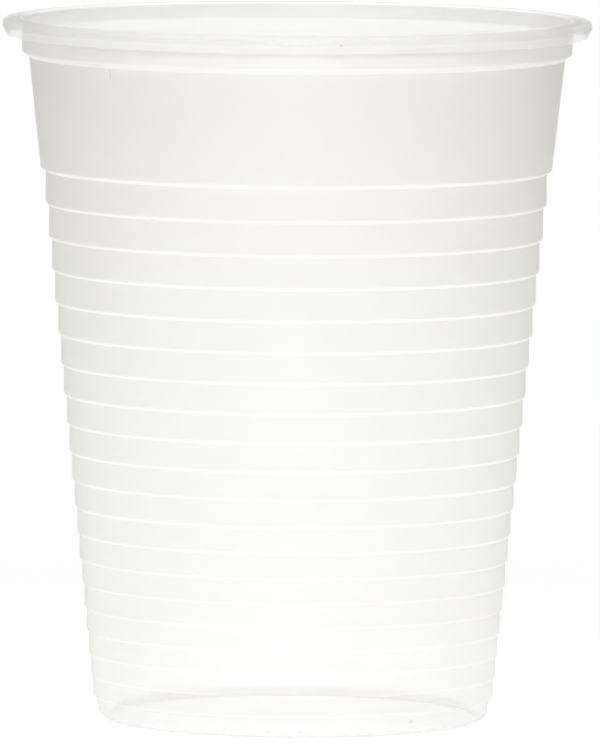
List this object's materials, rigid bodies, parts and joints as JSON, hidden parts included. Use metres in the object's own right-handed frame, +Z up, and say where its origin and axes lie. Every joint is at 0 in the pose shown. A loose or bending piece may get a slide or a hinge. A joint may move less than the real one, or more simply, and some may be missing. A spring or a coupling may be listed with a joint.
{
  "type": "plastic disposable cup",
  "caption": "Thin tapered drinking cup in milky translucent plastic, with a rolled rim, a stacking shelf and a ringed wall above a foot ring.",
  "frame": {"origin": "centre of the foot ring, on the surface that the cup stands on", "axes": "+Z up along the cup's axis, towards the open rim"},
  "size_m": [0.0702, 0.0702, 0.0837],
  "materials": {
    "milky_plastic": "milky translucent, satin"
  },
  "bodies": {
    "root": {"cup": "milky_plastic"}
  },
  "joints": []
}
